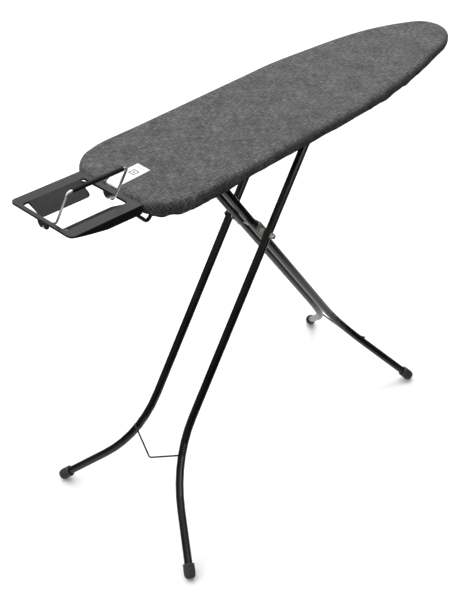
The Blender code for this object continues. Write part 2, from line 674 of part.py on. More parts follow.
def make_top_hinges(board, outer, looks):
    """The tail hinge of the inner pair, and the rails that the outer pair's axle slides in."""
    plate_y, plate_thick = 0.0375, 0.0018
    reach = plate_y + plate_thick + GAP
    pin = [(0.0060, 0), (0.0060, 0.0025), (PIN_R, 0.0025), (PIN_R, 2 * reach + 0.0025)]
    pin += [(0.0060, 2 * reach + 0.0025), (0.0060, 2 * reach + 0.0050)]
    start = (TAIL_HINGE_X, -reach - 0.0025, AXIS_Z)
    add("tail_hinge_pin", turned(pin, start, (0, 1, 0), 16), board, looks["zinc"])
    for side, sign in (("near", -1), ("far", 1)):
        y0, y1, y2 = sign * plate_y, sign * (plate_y + plate_thick), sign * (plate_y + 0.014)
        top = DECK_Z[0] - GAP
        profile = [(y0, 0.9200), (y1, 0.9200), (y1, top - 0.0018), (y2, top - 0.0018), (y2, top), (y0, top)]
        loop = [(TAIL_HINGE_X - 0.020, y, z) for y, z in profile]
        bm = extruded(loop, (0.040, 0, 0))
        plate = add(f"tail_bracket_{side}", bm, board, looks["black_steel"], smooth=False)
        low, high = sorted((y0 - sign * 0.003, y1 + sign * 0.003))
        drill(plate, TAIL_HINGE_X, AXIS_Z, PIN_R + GAP, low, high, f"tail_{side}")

        y0, y1, y2 = sign * RAIL_Y, sign * (RAIL_Y + RAIL_THICK), sign * (RAIL_Y + 0.016)
        low_z, shelf_z = AXIS_Z - RAIL_DROP, top - RAIL_THICK
        profile = [(y0, low_z), (y1, low_z), (y1, shelf_z), (y2, shelf_z), (y2, top), (y0, top)]
        start, end = AXLE_X - 0.024, AXLE_FOLDED_X + 0.024
        loop = [(start, y, z) for y, z in profile]
        bm = extruded(loop, (end - start, 0, 0))
        rail = add(f"slide_rail_{side}", bm, board, looks["black_steel"], smooth=False)
        low, high = sorted((y0 - sign * 0.003, y1 + sign * 0.003))
        slot = slot_loop(AXLE_X - 0.002, AXLE_FOLDED_X + 0.002, AXIS_Z, ROLLER_R + 2 * GAP, low)
        cut(rail, extruded(slot, (0, high - low, 0)), f"slot_{side}")

        hub = RAIL_THICK + 0.0012
        roller = [(PIN_R + GAP, 0), (ROLLER_R, 0), (ROLLER_R, hub), (0.0085, hub), (0.0085, hub + 0.0020)]
        roller += [(PIN_R + GAP, hub + 0.0020)]
        start = (AXLE_X, sign * (RAIL_Y - GAP), AXIS_Z)
        add(f"roller_{side}", turned_ring(roller, start, (0, sign, 0), 16), outer, looks["nylon"])
    half = RAIL_Y + RAIL_THICK + 0.0050
    axle = turned([(PIN_R, 0), (PIN_R, 2 * half)], (AXLE_X, -half, AXIS_Z), (0, 1, 0), 16)
    add("slide_axle", axle, outer, looks["zinc"])


def rack_outline():
    """The notched bar's side view. Each notch is as deep as the bar drops there when it seats on the axle."""
    px = LEVER_PIVOT[0]
    half = PIN_R + 0.0008
    edge, bevel = RACK_EDGE_Z, 0.001
    loop = [(RACK_END_X, edge + RACK_TALL), (RACK_END_X, edge)]
    for angle in HEIGHT_ANGLES:
        x = TAIL_HINGE_X + 2 * ARM * math.cos(math.radians(angle))
        depth = (px - x) * math.tan(SEATED_TURN) + 0.0004
        loop += [(x - half - bevel, edge), (x - half, edge + bevel), (x - half, edge + depth)]
        loop += [(x + half, edge + depth), (x + half, edge + bevel), (x + half + bevel, edge)]
    loop += [(px + 0.009, edge), (px + 0.009, edge + RACK_TALL)]
    return loop


def make_lever(board, lever, looks):
    """The notched bar on its pivot, the rod and grip that a hand squeezes, and the spring that seats it."""
    px, pz = LEVER_PIVOT
    y0 = LEVER_Y - RACK_THICK / 2
    loop = [(x, y0, z) for x, z in rack_outline()]
    rack = add("height_rack", extruded(loop, (0, RACK_THICK, 0)), lever, looks["zinc"], smooth=False)
    drill(rack, px, pz, 0.0025 + GAP, y0 - 0.002, y0 + RACK_THICK + 0.002, "rack_pin")
    grip_x, grip_y, rod_z = 0.160, -0.1200, 0.9430
    rod_x = RACK_END_X + 0.006
    route = [(rod_x, y0 - GAP, rod_z), (rod_x, grip_y, rod_z), (grip_x, grip_y, rod_z - 0.003)]
    add("lever_rod", sweep(round_corners(route, 0.014, 5), 0.0030, 10), lever, looks["zinc"])
    start = (grip_x - 0.070, grip_y, rod_z - 0.003 * 24 / 94)
    along = (0.094, 0, -0.003)
    grip = [(0.0033, 0.000), (0.0050, 0.000), (0.0062, 0.004), (0.0068, 0.035), (0.0062, 0.070)]
    grip += [(0.0045, 0.074), (0.0015, 0.074), (0.0015, 0.0708), (0.0033, 0.0708)]
    add("lever_grip", turned_ring(grip, start, along, 14), lever, looks["plastic"])
    top = DECK_Z[0] - GAP
    ear, thick = 0.0026, 0.0015
    half = RACK_THICK / 2 + 0.0010
    profile = [(-half - thick, 0.9370), (-half - thick, top), (half + thick, top), (half + thick, 0.9370)]
    profile += [(half, 0.9370), (half, top - thick), (-half, top - thick), (-half, 0.9370)]
    loop = [(px - 0.010, LEVER_Y + y, z) for y, z in profile]
    bracket = add("lever_bracket", extruded(loop, (0.020, 0, 0)), board, looks["black_steel"], smooth=False)
    drill(bracket, px, pz, 0.0025 + GAP, LEVER_Y - 0.010, LEVER_Y + 0.010, "lever_bracket")
    reach = half + thick + GAP
    pin = [(0.0040, 0), (0.0040, ear), (0.0025, ear), (0.0025, 2 * reach + ear), (0.0040, 2 * reach + ear)]
    pin += [(0.0040, 2 * (reach + ear))]
    add("lever_pivot_pin", turned(pin, (px, LEVER_Y - reach - ear, pz), (0, 1, 0), 14), board, looks["zinc"])
    coil_x, coil_r, wire_r, turns = 0.4450, 0.0034, 0.0006, 4
    low = RACK_EDGE_Z + RACK_TALL + wire_r + GAP
    rise = top - wire_r - low
    steps = 12 * turns
    helix = []
    for k in range(steps + 1):
        turn = 2 * math.pi * k / 12
        x, y = coil_x + coil_r * math.cos(turn), LEVER_Y + coil_r * math.sin(turn)
        helix.append((x, y, low + rise * k / steps))
    add("lever_return_spring", sweep(helix, wire_r, 6), board, looks["chrome"])


def main():
    clear_scene()
    looks = {
        "fabric": material("charcoal_fabric", (0.13, 0.13, 0.13), 0.95),
        "foam": material("grey_foam", (0.45, 0.45, 0.44), 0.95),
        "white": material("white_label", (0.85, 0.85, 0.85), 0.6),
        "satin_steel": material("satin_black_steel", DARK_GREY, 0.45, 0.2),
        "black_steel": material("black_steel", BLACK, 0.5, 0.2),
        "gloss_steel": material("gloss_black_tube", BLACK, 0.28, 0.2),
        "plastic": material("black_plastic", BLACK, 0.55),
        "rubber": material("black_sleeve", BLACK, 0.7),
        "nylon": material("white_nylon", (0.75, 0.73, 0.68), 0.5),
        "zinc": material("zinc_plate", (0.55, 0.55, 0.53), 0.35, 1.0),
        "chrome": material("bright_wire", (0.62, 0.62, 0.62), 0.2, 1.0),
    }
    board = body("board", (0, 0, 0))
    inner = body("inner_legs", (TAIL_HINGE_X, 0, AXIS_Z), board)
    outer = body("outer_legs", (CROSS_X, 0, CROSS_Z), inner)
    hinge = tilt_of_rest() @ Vector((0.5 * (BAIL_X[0] + BAIL_X[1]), *BAIL_HINGE))
    bail = body("bail", hinge, board)
    lever = body("height_lever", (LEVER_PIVOT[0], LEVER_Y, LEVER_PIVOT[1]), board)
    make_board(board, looks)
    make_iron_rest(board, looks)
    make_rest_fittings(board, looks)
    make_bail(bail, looks)
    up = Vector((TAIL_HINGE_X - CROSS_X, AXIS_Z - CROSS_Z)).normalized()
    inner_top = (TAIL_HINGE_X + up.x * TOP_SPARE, AXIS_Z + up.y * TOP_SPARE)
    set_x = CROSS_X + (OUTER_SET_Z - CROSS_Z) / OUTER_SLOPE
    top_way = Vector((AXLE_X - set_x, AXIS_Z - OUTER_SET_Z)).normalized()
    outer_top = (AXLE_X + top_way.x * TOP_SPARE, AXIS_Z + top_way.y * TOP_SPARE)
    bolt_hole = ("bolt", CROSS_X, CROSS_Z, BOLT_R + GAP)
    for side, sign in (("near", -1), ("far", 1)):
        holes = [bolt_hole, ("pin", TAIL_HINGE_X, AXIS_Z, PIN_R + GAP)]
        make_leg(f"inner_{side}", inner, sign, INNER_Y, inner_top, INNER_BEND, INNER_FOOT, looks, holes)
        holes = [bolt_hole, ("axle", AXLE_X, AXIS_Z, PIN_R + GAP)]
        knee = (set_x, OUTER_SET_Z)
        make_leg(f"outer_{side}", outer, sign, OUTER_Y, outer_top, OUTER_BEND, OUTER_FOOT, looks, holes, knee)
    brace("inner_brace_wire", inner, INNER_BEND, INNER_FOOT, INNER_BRACE, looks)
    brace("outer_brace_wire", outer, OUTER_BEND, OUTER_FOOT, OUTER_BRACE, looks)
    make_cross_pivot(inner, outer, looks)
    make_top_hinges(board, outer, looks)
    make_lever(board, lever, looks)


main()
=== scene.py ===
"""Looks for the ironing board: cloth, finishes, floor, light and camera. Metres, +Z up."""

import math

import bmesh
import bpy
from mathutils import Matrix, Vector, noise


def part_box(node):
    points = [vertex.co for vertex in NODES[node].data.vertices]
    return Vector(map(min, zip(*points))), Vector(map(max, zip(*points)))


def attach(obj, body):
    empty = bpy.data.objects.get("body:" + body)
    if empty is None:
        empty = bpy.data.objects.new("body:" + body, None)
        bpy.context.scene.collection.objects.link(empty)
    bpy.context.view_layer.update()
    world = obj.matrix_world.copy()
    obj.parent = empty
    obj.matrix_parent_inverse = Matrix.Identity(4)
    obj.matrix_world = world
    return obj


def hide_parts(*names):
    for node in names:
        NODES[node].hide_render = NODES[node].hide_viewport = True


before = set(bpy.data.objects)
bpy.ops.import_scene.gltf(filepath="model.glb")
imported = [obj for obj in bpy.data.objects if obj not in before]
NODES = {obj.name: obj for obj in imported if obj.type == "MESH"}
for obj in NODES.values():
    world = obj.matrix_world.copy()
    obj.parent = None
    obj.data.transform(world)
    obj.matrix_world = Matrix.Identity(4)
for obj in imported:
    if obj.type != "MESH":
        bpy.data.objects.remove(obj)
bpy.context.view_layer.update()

# ---------------------------------------------------------------- sizes
# The outline's own sizes repeat the CAD model's, and its ends and top are read from the cover's box.
LOW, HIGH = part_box("fabric_cover")
TAIL_X, NOSE_X = LOW.x, HIGH.x
TOP_Z = HIGH.z
HALF_WIDTH = HIGH.y
NOSE_TAPER = 0.500
TAPER_POWER = 1.4
ROUND_POWER = 2.4
CORNER_LENGTH = 0.130
CORNER_WIDTH = 0.066
CLOTH = 0.0010
CLOTH_PLACES = 640
# How far the rest reaches across the board's tail, and how much cloth lies flat before it may fold there.
REST_REACH = 0.105
REST_CLEAR = 0.004
REST_EASE = 0.020
MOST_PUSH = 0.0026
# The edge rounds over within this drop, and the hem's spare cloth shows below a part of it.
SIDE_DROP = 0.012
HANG_FROM = 0.4

# The cloth's section, from under the rim, up the side and on to the top: how far inside the outline, how
# far below the top, how far folds push it out, and how far they lift it.
COVER_SECTION = [
    (0.0210, 0.0222, 0.0034, 0.0010),
    (0.0150, 0.0238, 0.0030, 0.0014),
    (0.0090, 0.0252, 0.0020, 0.0016),
    (0.0045, 0.0258, 0.0016, 0.0018),
    (0.0018, 0.0250, 0.0016, 0.0014),
    (0.0006, 0.0229, 0.0016, 0.0008),
    (0.0000, 0.0190, 0.0013, 0.0004),
    (0.0000, 0.0150, 0.0009, 0.0),
    (0.0001, 0.0112, 0.0005, 0.0),
    (0.0010, 0.0076, 0.0002, 0.0),
    (0.0030, 0.0045, 0.0, 0.0),
    (0.0062, 0.0021, 0.0, 0.0),
    (0.0104, 0.0007, 0.0, 0.0),
    (0.0160, 0.0, 0.0, 0.0),
]

# Tubes and foot caps: each leg's bend and foot, as (x, distance from the middle plane, z).
TUBE_R = 0.0100
CAP_R = 0.0142
CAP_END = 0.017
GAP = 0.0003
LEG_ENDS = {
    "inner": ((0.2829, 0.0252, 0.2021), (0.4241, 0.1830, 0.0165)),
    "outer": ((-0.3862, 0.0626, 0.1815), (-0.5065, 0.2306, 0.0163)),
}


def link(obj):
    bpy.context.scene.collection.objects.link(obj)
    return obj


def mesh_object(name, bm, smooth_angle=40):
    mesh = bpy.data.meshes.new(name)
    bmesh.ops.recalc_face_normals(bm, faces=bm.faces)
    bm.to_mesh(mesh)
    bm.free()
    mesh.shade_smooth()
    mesh.set_sharp_from_angle(angle=math.radians(smooth_angle))
    return link(bpy.data.objects.new(name, mesh))


def thin_sheet(name, bm, thickness, offset):
    """A one-sided mesh whose faces look up, given a thickness: offset -1 grows it down and 1 grows it up."""
    bm.normal_update()
    if sum(face.normal.z for face in bm.faces) < 0:
        bmesh.ops.reverse_faces(bm, faces=bm.faces)
    mesh = bpy.data.meshes.new(name)
    bm.to_mesh(mesh)
    bm.free()
    mesh.shade_smooth()
    sheet = link(bpy.data.objects.new(name, mesh))
    solid = sheet.modifiers.new("thickness", "SOLIDIFY")
    solid.thickness = thickness
    solid.offset = offset
    return sheet


def skin(bm, first, second):
    """Quads between two closed loops of the same count."""
    count = len(first)
    for k in range(count):
        after = (k + 1) % count
        bm.faces.new((first[k], first[after], second[after], second[k]))


def half_outline():
    """The far half of the board's outline, from the tail's middle to the nose tip, in fine steps."""
    points = [(TAIL_X, 0.5 * (HALF_WIDTH - CORNER_WIDTH) * k / 6) for k in range(7)]
    start = 0.5 * (HALF_WIDTH - CORNER_WIDTH)
    points += [(TAIL_X, start + start * k / 6) for k in range(1, 6)]
    for k in range(25):
        turn = 0.5 * math.pi * k / 24
        across = HALF_WIDTH - CORNER_WIDTH * (1 - math.sin(turn))
        points.append((TAIL_X + CORNER_LENGTH * (1 - math.cos(turn)), across))
    straight_start, straight_end = TAIL_X + CORNER_LENGTH, NOSE_X - NOSE_TAPER
    points += [(straight_start + (straight_end - straight_start) * k / 60, HALF_WIDTH) for k in range(1, 60)]
    for k in range(73):
        turn = 0.5 * math.pi * k / 72
        x = straight_end + NOSE_TAPER * math.sin(turn) ** (2 / TAPER_POWER)
        points.append((x, HALF_WIDTH * max(math.cos(turn), 0.0) ** (2 / ROUND_POWER)))
    return points


def even_outline(count):
    """The whole outline in even steps of arc length: a list of (point, outward normal, distance along)."""
    half = half_outline()
    loop = [Vector(p) for p in half] + [Vector((x, -y)) for x, y in reversed(half[1:-1])]
    ends = loop + [loop[0]]
    lengths = [0.0]
    for a, b in zip(ends, ends[1:]):
        lengths.append(lengths[-1] + (b - a).length)
    total = lengths[-1]
    points, place = [], 0
    for k in range(count):
        wanted = total * k / count
        while lengths[place + 1] < wanted:
            place += 1
        share = (wanted - lengths[place]) / max(lengths[place + 1] - lengths[place], 1e-9)
        points.append(ends[place].lerp(ends[place + 1], share))
    made = []
    for k, p in enumerate(points):
        along = (points[(k + 1) % count] - points[k - 1]).normalized()
        made.append((p, Vector((-along.y, along.x)), total * k / count))
    if sum(p.dot(n) for p, n, _ in made) < 0:
        made = [(p, -n, s) for p, n, s in made]
    return made


def gather(s, seed, pitch):
    """Smooth folds along the hem, -1 to 1, with no regular rhythm."""
    slow = noise.noise(Vector((s / pitch, seed, 0.3)))
    return slow * 1.4 + 0.5 * noise.noise(Vector((s / pitch * 2.3, seed, 7.1)))


def hump(value, middle, half):
    """A smooth hump, 1 at its middle and 0 from half away."""
    away = min(1.0, abs(value - middle) / half)
    return 0.5 + 0.5 * math.cos(math.pi * away)


def rise(value, start, length):
    """0 before the start, 1 from a length beyond it, and a straight line between."""
    return min(1.0, max(0.0, (value - start) / length))


def spare_width(p, low_down, fold, by_rest):
    """How far spare cloth stands out past the outline. These places are given one by one, to follow the
    photo.
    """
    nose = rise(p.x, NOSE_X - 0.090, 0.06) * (0.35 + 0.65 * low_down)
    out = 0.0022 * nose + 0.0040 * rise(p.x, NOSE_X - 0.045, 0.045)
    out += 0.0014 * hump(p.x, TAIL_X + 0.075, 0.075) * by_rest * low_down * (0.6 + fold)
    far = rise(p.y, 0.060, 0.040) * by_rest * min(1.0, (p.x - TAIL_X) / 0.050)
    out += far * (0.0024 + 0.0034 * hump(p.x, TAIL_X + 0.060, 0.170))
    out += far * (0.0010 * hump(p.x, 0.190, 0.110) + 0.0034 * hump(p.x, 0.440, 0.190))
    if p.y < 0:
        out += 0.0066 * hump(p.x, NOSE_X - 0.057, 0.075) - 0.0015 * hump(p.x, 0.450, 0.070)
    return out


def spare_drop(p, low_down, fold, by_rest):
    """How far the hem hangs below its section: at the tail's corners, and in small dips on the near side."""
    lowest = max(0.0, low_down - HANG_FROM)
    corner = hump(p.x, TAIL_X + 0.075, 0.075) * by_rest
    hang = lowest * corner * (0.0030 + 0.0022 * fold)
    if p.y < 0:
        lowest /= 1.0 - HANG_FROM
        hang += 0.0036 * lowest * rise(-p.x, 0.225, 0.06) * by_rest
        hang += 0.0036 * lowest * hump(p.x, TAIL_X + 0.024, 0.014) * by_rest
        hang += 0.0024 * lowest * hump(p.x, TAIL_X + 0.053, 0.013)
        hang += 0.0034 * lowest * (hump(p.x, 0.255, 0.034) + hump(p.x, 0.345, 0.022))
        hang -= 0.0020 * lowest * (hump(p.x, 0.135, 0.060) + hump(p.x, 0.010, 0.050))
    return hang


def cloth_point(p, normal, s, row):
    """Where the cloth lies at one place on the outline, for one row of its section."""
    inset, drop, push, lift = row
    fold = gather(s, 2.0, 0.021)
    crease = gather(s, 11.0, 0.055)
    # Folds end where the rest's board rail stands against the tail.
    by_rest = 1.0
    if abs(p.y) < REST_REACH:
        by_rest = rise(p.x, TAIL_X + REST_CLEAR, REST_EASE)
    out = push * (max(fold, -0.35) * 1.3 + 0.5 * max(crease, 0.0)) * by_rest
    out = min(out, MOST_PUSH if by_rest > 0 else 0.0)
    low_down = min(1.0, drop / SIDE_DROP)
    out += spare_width(p, low_down, fold, by_rest)
    at = p + normal * (out - inset)
    height = TOP_Z - drop + lift * (fold - 0.6 * abs(crease)) * (0.4 + 0.6 * by_rest)
    return at, height - spare_drop(p, low_down, fold, by_rest)


def make_cover():
    """The cloth: top, rolled edge, side, and the hem that a cord gathers in under the rim."""
    count = CLOTH_PLACES
    loop = even_outline(count)
    bm = bmesh.new()
    uv_layer = bm.loops.layers.uv.new("cut")
    rings, cut_place = [], {}
    top_row = COVER_SECTION[-1]
    # How far each row lies from the top's edge along the cloth, which places it in the flat cut.
    beyond = {top_row: 0.0}
    run = 0.0
    for higher, lower in zip(COVER_SECTION[::-1], COVER_SECTION[-2::-1]):
        run += math.hypot(higher[0] - lower[0], higher[1] - lower[1])
        beyond[lower] = run
    for row in COVER_SECTION:
        ring = []
        for p, normal, s in loop:
            at, height = cloth_point(p, normal, s, row)
            vert = bm.verts.new((at.x, at.y, height))
            flat_place = p + normal * (beyond[row] - top_row[0])
            cut_place[vert] = (flat_place.x, flat_place.y)
            ring.append(vert)
        rings.append(ring)
    spine_start, spine_end = TAIL_X + 0.10, NOSE_X - 0.12
    for share in (0.93, 0.82, 0.68, 0.52, 0.36, 0.2, 0.08):
        ring = []
        for vert in rings[len(COVER_SECTION) - 1]:
            centre = min(max(vert.co.x, spine_start), spine_end)
            x, y = centre + (vert.co.x - centre) * share, vert.co.y * share
            dip = 0.0006 * max(0.0, noise.noise(Vector((x * 9, y * 11, 3.0))) + 0.25)
            inner = bm.verts.new((x, y, TOP_Z - dip))
            cut_place[inner] = (x, y)
            ring.append(inner)
        rings.append(ring)
    for first, second in zip(rings, rings[1:]):
        skin(bm, first, second)
    last = rings[-1]
    for k in range(1, count // 2 - 1):
        bm.faces.new((last[k], last[k + 1], last[count - k - 1], last[count - k]))
    bm.faces.new((last[0], last[1], last[count - 1]))
    bm.faces.new((last[count // 2], last[count // 2 + 1], last[count // 2 - 1]))
    for face in bm.faces:
        for corner in face.loops:
            corner[uv_layer].uv = cut_place[corner.vert]
    return thin_sheet("cover_cloth", bm, CLOTH, -1.0)


def make_felt_pad():
    """The needled felt under the cloth, with soft edges."""
    low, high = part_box("foam_pad")
    inset = low.x - TAIL_X
    loop = even_outline(240)
    thick = high.z - low.z
    section = [(0.0025, 0.0), (0.0006, 0.12), (0.0, 0.35), (0.0002, 0.65), (0.0012, 0.88), (0.0045, 1.0)]
    bm = bmesh.new()
    rings = []
    for more, share in section:
        ring = []
        for p, normal, s in loop:
            rough = 0.0003 * noise.noise(Vector((s / 0.006, share * 3, 1.0)))
            at = p - normal * (inset + more - rough)
            ring.append(bm.verts.new((at.x, at.y, low.z + thick * share)))
        rings.append(ring)
    for first, second in zip(rings, rings[1:]):
        skin(bm, first, second)
    bm.faces.new(rings[0])
    bm.faces.new(rings[-1])
    return mesh_object("felt_pad", bm, 60)


def make_label():
    """The sewn-in label: it lies on the tail of the cover and bends down over its edge."""
    far, near, high_x = 0.0240, -0.0155, -0.3700
    corner_x, corner_y = -0.4440, 0.0150
    edge_x = TAIL_X + 0.0036
    # Where the cloth's edge is, by how far inside the outline.
    bend = [(inset, drop) for inset, drop, _, _ in COVER_SECTION[8:]]

    def height(x):
        inset = x - TAIL_X
        for (i0, d0), (i1, d1) in zip(bend, bend[1:]):
            if inset <= i1:
                return TOP_Z - d0 - (d1 - d0) * max(0.0, inset - i0) / (i1 - i0)
        return TOP_Z

    bm = bmesh.new()
    rows = []
    across, along = 12, 22
    for j in range(across + 1):
        y = near + (far - near) * j / across
        turn = min(1.0, max(0.0, (y - corner_y) / (far - corner_y)))
        start = edge_x + (corner_x - edge_x) * (1 - math.sqrt(1 - turn**2))
        end = high_x + 0.0015 * j / across
        row = []
        for k in range(along + 1):
            share = (k / along) ** 1.35
            x = start + (end - start) * share
            wave = 0.00025 * (1 + noise.noise(Vector((x * 45, y * 60, 5.0))))
            row.append(bm.verts.new((x, y, height(x) + 0.00035 + wave)))
        rows.append(row)
    for first, second in zip(rows, rows[1:]):
        for k in range(along):
            bm.faces.new((first[k], first[k + 1], second[k + 1], second[k]))
    return thin_sheet("label", bm, 0.0002, 1.0)


def make_foot_cap(pair, side, sign):
    """A pushed-on cap: a collar at its mouth, ribs down its wall, a domed end worn flat where it stands."""
    bend, foot = LEG_ENDS[pair]
    end = Vector((foot[0], sign * foot[1], foot[2]))
    axis = (end - Vector((bend[0], sign * bend[1], bend[2]))).normalized()
    u = (Vector((0, 0, 1)) - axis * axis.z).normalized()
    v = axis.cross(u)
    sides, ribs = 96, 16
    bore = TUBE_R + GAP
    # Along the cap: radius, place, and how deep the grooves between its ribs are.
    wall = [
        (bore, GAP, 0.0),
        (bore, -0.0190, 0.0),
        (CAP_R - 0.0020, -0.0192, 0.0),
        (CAP_R - 0.0004, -0.0185, 0.0),
        (CAP_R, -0.0172, 0.0),
        (CAP_R, -0.0148, 0.0),
        (CAP_R - 0.0004, -0.0138, 0.0),
        (CAP_R - 0.0006, -0.0126, 0.0009),
        (CAP_R - 0.0002, -0.0110, 0.0013),
        (CAP_R, -0.0040, 0.0013),
        (CAP_R, 0.0030, 0.0013),
        (CAP_R * 0.985, 0.0062, 0.0011),
        (CAP_R * 0.94, 0.0095, 0.0006),
        (CAP_R * 0.84, 0.0126, 0.0),
        (CAP_R * 0.66, 0.0149, 0.0),
        (CAP_R * 0.40, 0.0164, 0.0),
        (CAP_R * 0.12, CAP_END, 0.0),
    ]
    bm = bmesh.new()
    rings = []
    for radius, place, groove in wall:
        ring = []
        for k in range(sides):
            turn = 2 * math.pi * k / sides
            valley = max(0.0, 0.5 - 0.5 * math.cos(ribs * turn)) ** 1.6
            reach = radius - groove * valley
            ring.append(bm.verts.new(end + axis * place + reach * (u * math.cos(turn) + v * math.sin(turn))))
        rings.append(ring)
    for first, second in zip(rings, rings[1:]):
        skin(bm, first, second)
    bm.faces.new(rings[0])
    bm.faces.new(rings[-1])
    geometry = bm.verts[:] + bm.edges[:] + bm.faces[:]
    sliced = bmesh.ops.bisect_plane(
        bm, geom=geometry, plane_co=(0, 0, 0), plane_no=(0, 0, -1), clear_outer=True
    )
    rim = [item for item in sliced["geom_cut"] if isinstance(item, bmesh.types.BMEdge)]
    bmesh.ops.edgeloop_fill(bm, edges=rim)
    return mesh_object(f"{pair}_foot_cap_{side}", bm, 50)


# ---------------------------------------------------------------- materials
def new_material(name, colour, roughness, metallic=0.0):
    made = bpy.data.materials.new(name)
    made.use_nodes = True
    shader = made.node_tree.nodes["Principled BSDF"]
    shader.inputs["Base Color"].default_value = (*colour, 1.0)
    shader.inputs["Roughness"].default_value = roughness
    shader.inputs["Metallic"].default_value = metallic
    return made, made.node_tree, shader


def node(tree, kind, **settings):
    made = tree.nodes.new(kind)
    for key, value in settings.items():
        if hasattr(made, key):
            setattr(made, key, value)
        else:
            made.inputs[key.replace("_", " ").title() if key.islower() else key].default_value = value
    return made


def coordinates(tree, scale, source="Object"):
    place = tree.nodes.new("ShaderNodeTexCoord")
    mapping = tree.nodes.new("ShaderNodeMapping")
    mapping.inputs["Scale"].default_value = scale
    tree.links.new(place.outputs[source], mapping.inputs["Vector"])
    return mapping.outputs["Vector"]


def noise_of(tree, vector, scale, detail=2.0, roughness=0.5):
    made = node(tree, "ShaderNodeTexNoise", scale=scale, detail=detail, roughness=roughness)
    tree.links.new(vector, made.inputs["Vector"])
    return made.outputs["Fac"]


def maths(tree, operation, a, b, clamp=False):
    made = tree.nodes.new("ShaderNodeMath")
    made.operation = operation
    made.use_clamp = clamp
    for socket, value in zip(made.inputs, (a, b)):
        if isinstance(value, (int, float)):
            socket.default_value = value
        else:
            tree.links.new(value, socket)
    return made.outputs[0]


def ramp(tree, fac, stops):
    made = tree.nodes.new("ShaderNodeValToRGB")
    elements = made.color_ramp.elements
    while len(elements) < len(stops):
        elements.new(0.5)
    for element, (place, colour) in zip(elements, stops):
        element.position = place
        element.color = (*colour, 1.0) if len(colour) == 3 else colour
    tree.links.new(fac, made.inputs["Fac"])
    return made.outputs["Color"]


def grey(value):
    return (value, value, value)


def spread(tree, fac, low, high):
    """Maps a noise's usual range, 0.25 to 0.75, to low..high."""
    made = tree.nodes.new("ShaderNodeMapRange")
    made.inputs["From Min"].default_value = 0.25
    made.inputs["From Max"].default_value = 0.75
    made.inputs["To Min"].default_value = low
    made.inputs["To Max"].default_value = high
    tree.links.new(fac, made.inputs["Value"])
    return made.outputs["Result"]


def bump(tree, shader, height, strength, distance):
    made = node(tree, "ShaderNodeBump", strength=strength, distance=distance)
    tree.links.new(height, made.inputs["Height"])
    tree.links.new(made.outputs["Normal"], shader.inputs["Normal"])
    return made


def cloth_material():
    """Linen-look cloth: slubs run both ways, light on dark, over a fine plain weave."""
    made, tree, shader = new_material("charcoal_linen", (0.1, 0.1, 0.1), 0.92)
    warp = noise_of(tree, coordinates(tree, (55, 460, 1), "UV"), 1.0, 3.0, 0.62)
    weft = noise_of(tree, coordinates(tree, (460, 60, 1), "UV"), 1.0, 3.0, 0.62)
    fleck = noise_of(tree, coordinates(tree, (330, 620, 1), "UV"), 1.0, 2.0, 0.6)
    mottle = noise_of(tree, coordinates(tree, (1, 1, 1), "UV"), 16.0, 4.0, 0.6)
    threads = maths(tree, "MULTIPLY", warp, 0.34)
    for part, share in ((weft, 0.28), (fleck, 0.26), (mottle, 0.12)):
        threads = maths(tree, "ADD", threads, maths(tree, "MULTIPLY", part, share))
    dark, mid, light = (0.014, 0.014, 0.016), (0.066, 0.0655, 0.067), (0.215, 0.213, 0.212)
    colour = ramp(tree, threads, [(0.39, dark), (0.50, mid), (0.62, light)])
    tree.links.new(colour, shader.inputs["Base Color"])
    tree.links.new(spread(tree, warp, 0.85, 0.97), shader.inputs["Roughness"])
    fine = []
    for direction in ("X", "Y"):
        wave = node(tree, "ShaderNodeTexWave", scale=1.0, distortion=0.6, detail=1.0)
        wave.wave_type = "BANDS"
        wave.bands_direction = direction
        tree.links.new(coordinates(tree, (220, 220, 220), "UV"), wave.inputs["Vector"])
        fine.append(wave.outputs["Fac"])
    weave = maths(tree, "MULTIPLY", fine[0], fine[1])
    height = maths(tree, "ADD", maths(tree, "MULTIPLY", weave, 0.5), maths(tree, "MULTIPLY", threads, 0.9))
    bump(tree, shader, height, 0.6, 0.0009)
    shader.inputs["Sheen Weight"].default_value = 0.06
    shader.inputs["Sheen Roughness"].default_value = 0.5
    shader.inputs["Specular IOR Level"].default_value = 0.2
    return made


def paint_material(name, colour, roughness, grain, shine=0.5):
    """Powder coat: slight orange peel, with dust and handling in its gloss."""
    made, tree, shader = new_material(name, colour, roughness)
    place = coordinates(tree, (1, 1, 1))
    peel = noise_of(tree, place, grain, 2.0)
    patches = noise_of(tree, place, 14.0, 4.0, 0.6)
    dark = tuple(c * 0.82 for c in colour)
    light = tuple(min(1.0, c * 1.22 + 0.002) for c in colour)
    tree.links.new(ramp(tree, patches, [(0.35, dark), (0.65, light)]), shader.inputs["Base Color"])
    tree.links.new(spread(tree, patches, roughness * 0.85, roughness * 1.2), shader.inputs["Roughness"])
    bump(tree, shader, peel, 0.12, 0.0004)
    shader.inputs["Specular IOR Level"].default_value = shine
    return made


def plastic_material(name, colour, roughness, shine=0.5):
    """Moulded plastic: a fine spark texture and faint flow marks."""
    made, tree, shader = new_material(name, colour, roughness)
    place = coordinates(tree, (1, 1, 1))
    grain = noise_of(tree, place, 1800.0, 1.0)
    flow = noise_of(tree, place, 45.0, 3.0, 0.6)
    dark = tuple(c * 0.8 for c in colour)
    light = tuple(min(1.0, c * 1.2 + 0.003) for c in colour)
    tree.links.new(ramp(tree, flow, [(0.35, dark), (0.65, light)]), shader.inputs["Base Color"])
    rough = spread(tree, flow, roughness * 0.88, min(1.0, roughness * 1.12))
    tree.links.new(rough, shader.inputs["Roughness"])
    bump(tree, shader, grain, 0.25, 0.0002)
    shader.inputs["Specular IOR Level"].default_value = shine
    return made


